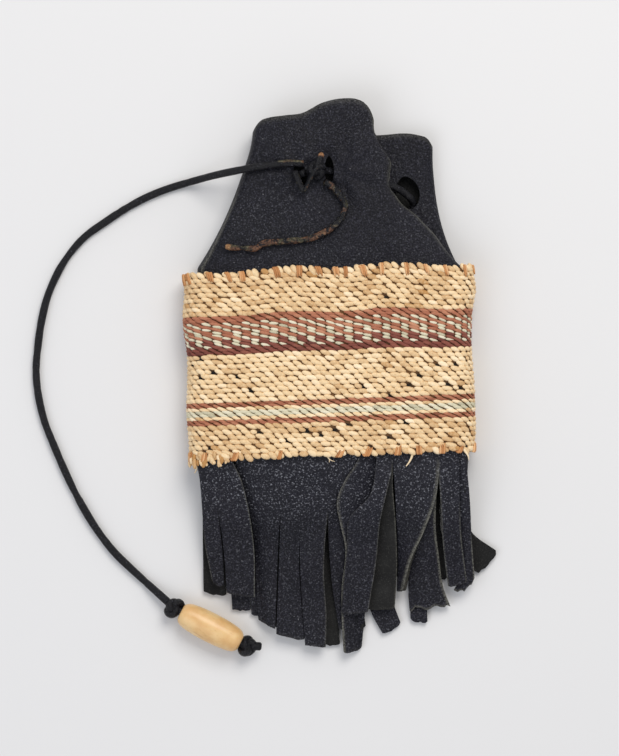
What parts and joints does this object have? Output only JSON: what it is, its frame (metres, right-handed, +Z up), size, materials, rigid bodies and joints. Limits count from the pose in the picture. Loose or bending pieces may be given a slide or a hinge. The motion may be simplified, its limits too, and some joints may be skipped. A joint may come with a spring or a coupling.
{
  "type": "medicine bag",
  "caption": "Fringed leather drawstring pouch with a woven sleeve round its body and a long leather thong carrying a barrel bead between knots.",
  "frame": {"origin": "under the middle of the bag, on the surface it lies on", "axes": "+Y from the fringe to the neck, +X to the right as the front is seen, +Z up through the front"},
  "size_m": [0.1257, 0.1517, 0.0163],
  "materials": {
    "black_leather": "soft, slightly pebbled",
    "thong_leather": "matt, worn brown at the ends",
    "woven_yarn": "warp-faced weave in straw, russet and sage",
    "bone": "polished bone"
  },
  "bodies": {
    "bag": {"pouch": "black_leather", "fringe": "black_leather", "woven_band": "woven_yarn", "drawstring": "thong_leather", "neck_knot": "thong_leather", "thong_tail": "thong_leather", "long_thong": "thong_leather", "upper_knot": "thong_leather", "bead_thong": "thong_leather", "end_knot": "thong_leather"},
    "bead": {"bead": "bone"}
  },
  "joints": [
    {"name": "bead_spin", "type": "hinge", "parent": "bag", "child": "bead", "pos_m": [-0.035, -0.0671, 0.004], "axis": [0.887, -0.4617, 0], "continuous": true}
  ]
}
